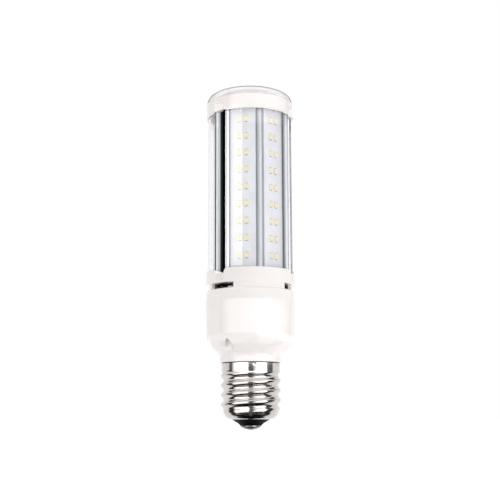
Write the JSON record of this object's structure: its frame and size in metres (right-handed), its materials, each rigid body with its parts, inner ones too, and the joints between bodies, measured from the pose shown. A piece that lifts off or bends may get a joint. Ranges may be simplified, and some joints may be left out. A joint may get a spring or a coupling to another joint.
{
  "type": "corn led bulb",
  "caption": "Tubular LED lamp with clear curved covers over columns of yellow chips, a white driver housing and a large nickel screw base",
  "frame": {"origin": "end of the centre contact, on the lamp's axis", "axes": "+Z runs along the axis from the screw base to the lens, and the middle of module 1 faces -Y"},
  "size_m": [0.0598, 0.0598, 0.2298],
  "materials": {
    "nickel_plate": "bright nickel plating on rolled brass",
    "black_insulator": "smooth black moulding",
    "white_housing": "semi-gloss white moulding",
    "clear_plastic": "clear polished polycarbonate",
    "aluminium": "extruded, plain",
    "board_white": "white solder mask on aluminium",
    "chip_yellow": "phosphor resin in a white package",
    "screw_steel": "zinc plated",
    "circuit_board": "green solder mask",
    "ferrite": "dark sintered",
    "winding_tape": "yellow polyester tape",
    "capacitor_case": "dipped red case",
    "capacitor_sleeve": "dark blue sleeve",
    "component_black": "moulded epoxy",
    "resistor_coat": "green coating",
    "lead_insulation": "red insulation"
  },
  "bodies": {
    "root": {"base_insulator": "black_insulator", "board_jumpers": "lead_insulation", "bridge_rectifier": "component_black", "cap_screws": "screw_steel", "centre_contact": "nickel_plate", "clear_cover_1": "clear_plastic", "clear_cover_2": "clear_plastic", "clear_cover_3": "clear_plastic", "collar_screws": "screw_steel", "contact_lead": "lead_insulation", "driver_board": "circuit_board", "driver_housing": "white_housing", "film_capacitor": "capacitor_case", "filter_choke": "ferrite", "fuse_resistor": "resistor_coat", "heat_sink_1": "aluminium", "heat_sink_2": "aluminium", "heat_sink_3": "aluminium", "housing_screws": "screw_steel", "led_board_1": "board_white", "led_board_2": "board_white", "led_board_3": "board_white", "led_board_4": "board_white", "led_board_5": "board_white", "led_board_6": "board_white", "led_chips_1": "chip_yellow", "led_chips_2": "chip_yellow", "led_chips_3": "chip_yellow", "led_chips_4": "chip_yellow", "led_chips_5": "chip_yellow", "led_chips_6": "chip_yellow", "lower_collar": "white_housing", "output_capacitor": "capacitor_sleeve", "screw_shell": "nickel_plate", "shell_lead": "lead_insulation", "supply_leads": "lead_insulation", "switch_transistor": "component_black", "top_cap": "white_housing", "top_led_board": "board_white", "top_led_chips": "chip_yellow", "top_lens": "clear_plastic", "transformer_core": "ferrite", "transformer_winding": "winding_tape"}
  },
  "joints": []
}
